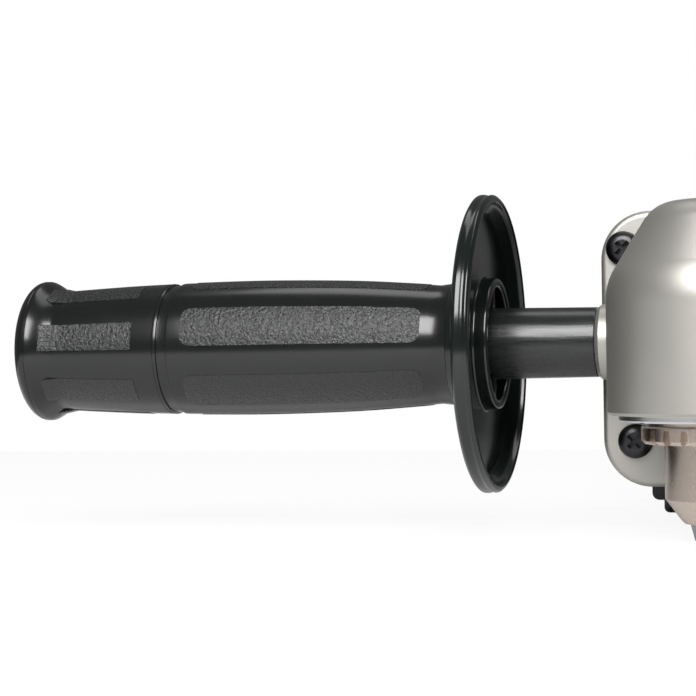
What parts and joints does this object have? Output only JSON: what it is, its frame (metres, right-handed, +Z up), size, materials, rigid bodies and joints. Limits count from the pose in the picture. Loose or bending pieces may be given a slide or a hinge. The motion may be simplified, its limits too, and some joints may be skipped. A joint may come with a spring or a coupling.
{
  "type": "right-angle drill",
  "caption": "Corded right-angle drill: keyed chuck below a cast gear head, motor barrel with a paddle switch, and a screw-in side handle with a round guard.",
  "frame": {"origin": "centre of the chuck's nose face, where a bit's shank enters", "axes": "+Z up the spindle away from the bit, +Y along the motor barrel to the cord inlet, side handle along -X"},
  "size_m": [0.2304, 0.265, 0.0908],
  "materials": {
    "cast_aluminium": "satin die casting",
    "machined_aluminium": "machined",
    "black_oxide_steel": "black oxide",
    "chuck_steel": "satin ground",
    "bearing_steel": "ground",
    "gear_steel": "hardened",
    "lamination_steel": "stacked sheet",
    "copper": "enamelled wire and bars",
    "brass": "pressed sheet",
    "bronze": "sintered",
    "carbon": "pressed carbon",
    "grip_nylon": "moulded, satin",
    "housing_nylon": "moulded, fine grain",
    "lever_nylon": "moulded, satin",
    "fibre": "pressed fibre",
    "rubber": "matt"
  },
  "bodies": {
    "housing": {"gear_housing": "cast_aluminium", "flange_screws": "black_oxide_steel", "bearing_box": "machined_aluminium", "bearing_box_screws": "black_oxide_steel", "snap_ring": "bearing_steel", "top_bush": "bronze", "layshaft_bush": "bronze", "bearing_plate": "machined_aluminium", "rear_bearing_sleeve": "rubber", "stator_core": "lamination_steel", "field_coils": "copper", "fan_baffle": "housing_nylon", "brush_holders": "brass", "carbon_brushes": "carbon", "brush_springs": "bearing_steel", "brush_caps": "lever_nylon", "motor_housing": "housing_nylon", "handle_half_left": "housing_nylon", "handle_half_right": "housing_nylon", "handle_screws": "black_oxide_steel", "lever_pin": "bearing_steel", "lever_spring": "bearing_steel", "switch_body": "housing_nylon", "cord_inlet": "rubber", "cord_clamp": "fibre", "clamp_screws": "black_oxide_steel", "grip_moulding": "grip_nylon", "handle_stud": "bearing_steel", "spindle_bearing_outer": "bearing_steel", "spindle_bearing_balls": "bearing_steel", "layshaft_bearing_outer": "bearing_steel", "layshaft_bearing_balls": "bearing_steel", "front_bearing_outer": "bearing_steel", "front_bearing_balls": "bearing_steel", "rear_bearing_outer": "bearing_steel", "rear_bearing_balls": "bearing_steel"},
    "spindle": {"spindle": "gear_steel", "bevel_gear": "gear_steel", "spindle_bearing_inner": "bearing_steel", "chuck_body": "chuck_steel", "chuck_screw": "black_oxide_steel"},
    "chuck_sleeve": {"chuck_sleeve": "chuck_steel", "chuck_nut": "chuck_steel"},
    "jaw_1": {"chuck_jaw_1": "gear_steel"},
    "jaw_2": {"chuck_jaw_2": "gear_steel"},
    "jaw_3": {"chuck_jaw_3": "gear_steel"},
    "layshaft": {"pinion_shaft": "gear_steel", "spur_gear": "gear_steel", "layshaft_bearing_inner": "bearing_steel"},
    "armature": {"armature_shaft": "gear_steel", "armature_core": "lamination_steel", "armature_windings": "copper", "commutator": "copper", "cooling_fan": "housing_nylon", "front_bearing_inner": "bearing_steel", "rear_bearing_inner": "bearing_steel"},
    "paddle_lever": {"paddle_lever": "lever_nylon"},
    "switch_plunger": {"switch_plunger": "lever_nylon"},
    "lock_button": {"lock_button": "lever_nylon"},
    "reversing_slide": {"reversing_slide": "lever_nylon"}
  },
  "joints": [
    {"name": "spindle_spin", "type": "hinge", "parent": "housing", "child": "spindle", "pos_m": [0, 0, 0.0404], "axis": [0, 0, 1], "continuous": true},
    {"name": "layshaft_spin", "type": "hinge", "parent": "housing", "child": "layshaft", "pos_m": [0, 0.028, 0.05875], "axis": [0, 1, 0], "continuous": true},
    {"name": "armature_spin", "type": "hinge", "parent": "housing", "child": "armature", "pos_m": [0, 0.09, 0.0444], "axis": [0, 1, 0], "continuous": true},
    {"name": "sleeve_turn", "type": "hinge", "parent": "spindle", "child": "chuck_sleeve", "pos_m": [0, 0, 0.027], "axis": [0, 0, 1], "range_deg": [-2340, 1680]},
    {"name": "jaw_1_slide", "type": "slide", "parent": "spindle", "child": "jaw_1", "axis": [-0.0449, -0.2549, -0.9659], "range_m": [-0.0092, 0.0066]},
    {"name": "jaw_2_slide", "type": "slide", "parent": "spindle", "child": "jaw_2", "axis": [0.2432, 0.0885, -0.9659], "range_m": [-0.0092, 0.0066]},
    {"name": "jaw_3_slide", "type": "slide", "parent": "spindle", "child": "jaw_3", "axis": [-0.1983, 0.1664, -0.9659], "range_m": [-0.0092, 0.0066]},
    {"name": "lever_squeeze", "type": "hinge", "parent": "housing", "child": "paddle_lever", "pos_m": [0, 0.056, 0.0064], "axis": [1, 0, 0], "range_deg": [0, 3], "stiffness_Nm_per_rad": 0.8, "springref_deg": -22.92},
    {"name": "plunger_press", "type": "slide", "parent": "housing", "child": "switch_plunger", "axis": [0, 0, 1], "range_m": [0, 0.0066]},
    {"name": "lock_press", "type": "slide", "parent": "housing", "child": "lock_button", "axis": [1, 0, 0], "range_m": [0, 0.0022], "stiffness_N_per_m": 400, "springref_m": -0.002},
    {"name": "direction_slide", "type": "slide", "parent": "housing", "child": "reversing_slide", "axis": [1, 0, 0], "range_m": [-0.004, 0.004]}
  ],
  "couplings": [
    {"joint": "layshaft_spin", "follows": "spindle_spin", "ratio": 2.5833},
    {"joint": "armature_spin", "follows": "spindle_spin", "ratio": -10.656},
    {"joint": "jaw_1_slide", "follows": "sleeve_turn", "m_per_rad": 0.00022282},
    {"joint": "jaw_2_slide", "follows": "sleeve_turn", "m_per_rad": 0.00022282},
    {"joint": "jaw_3_slide", "follows": "sleeve_turn", "m_per_rad": 0.00022282},
    {"joint": "plunger_press", "follows": "lever_squeeze", "m_per_rad": 0.1245}
  ]
}
